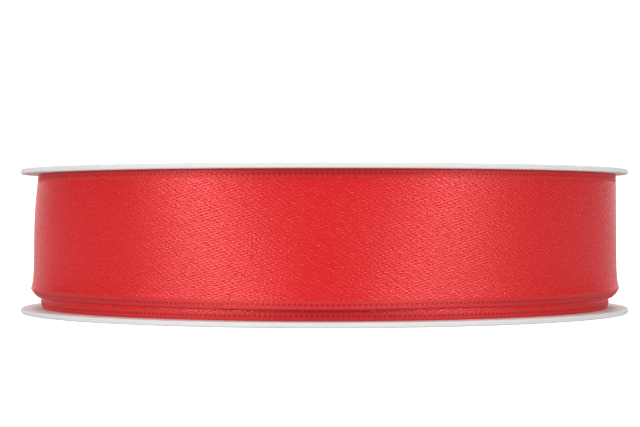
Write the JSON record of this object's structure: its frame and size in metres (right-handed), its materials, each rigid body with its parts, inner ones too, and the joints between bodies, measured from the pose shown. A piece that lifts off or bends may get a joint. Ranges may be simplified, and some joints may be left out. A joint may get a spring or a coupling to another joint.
{
  "type": "ribbon spool",
  "caption": "Full roll of red satin ribbon wound on a low white plastic spool, with a loose outer turn and a tail held by clear tape.",
  "frame": {"origin": "on the spool's axis, in the plane of the lower flange's outer face", "axes": "+Z along the spool's axis, towards the upper flange; +Y towards the place where the tail leaves the outer turn"},
  "size_m": [0.123, 0.123, 0.0287],
  "materials": {
    "white_plastic": "semi-gloss",
    "red_satin": "satin",
    "clear_tape": "satin"
  },
  "bodies": {
    "spool": {"lower_flange": "white_plastic", "upper_flange": "white_plastic", "core_tube": "white_plastic", "start_tape": "clear_tape", "wound_ribbon": "red_satin"},
    "outer_turn": {"outer_turn": "red_satin"},
    "tail_root": {"tail_root": "red_satin"},
    "tail_middle": {"tail_middle": "red_satin"},
    "tail_end": {"tail_end": "red_satin", "end_tape": "clear_tape"}
  },
  "joints": [
    {"name": "unwind", "type": "hinge", "parent": "spool", "child": "outer_turn", "pos_m": [0, 0, 0.0151], "axis": [0, 0, 1], "continuous": true},
    {"name": "tail_peel", "type": "hinge", "parent": "outer_turn", "child": "tail_root", "pos_m": [-0.00005, 0.0595, 0.0151], "axis": [0, 0, -1], "range_deg": [0, 120]},
    {"name": "tail_middle_bend", "type": "hinge", "parent": "tail_root", "child": "tail_middle", "pos_m": [-0.0204, 0.05589, 0.0151], "axis": [0, 0, -1], "range_deg": [0, 45]},
    {"name": "tail_end_bend", "type": "hinge", "parent": "tail_middle", "child": "tail_end", "pos_m": [-0.03829, 0.04555, 0.0151], "axis": [0, 0, -1], "range_deg": [0, 45]}
  ]
}
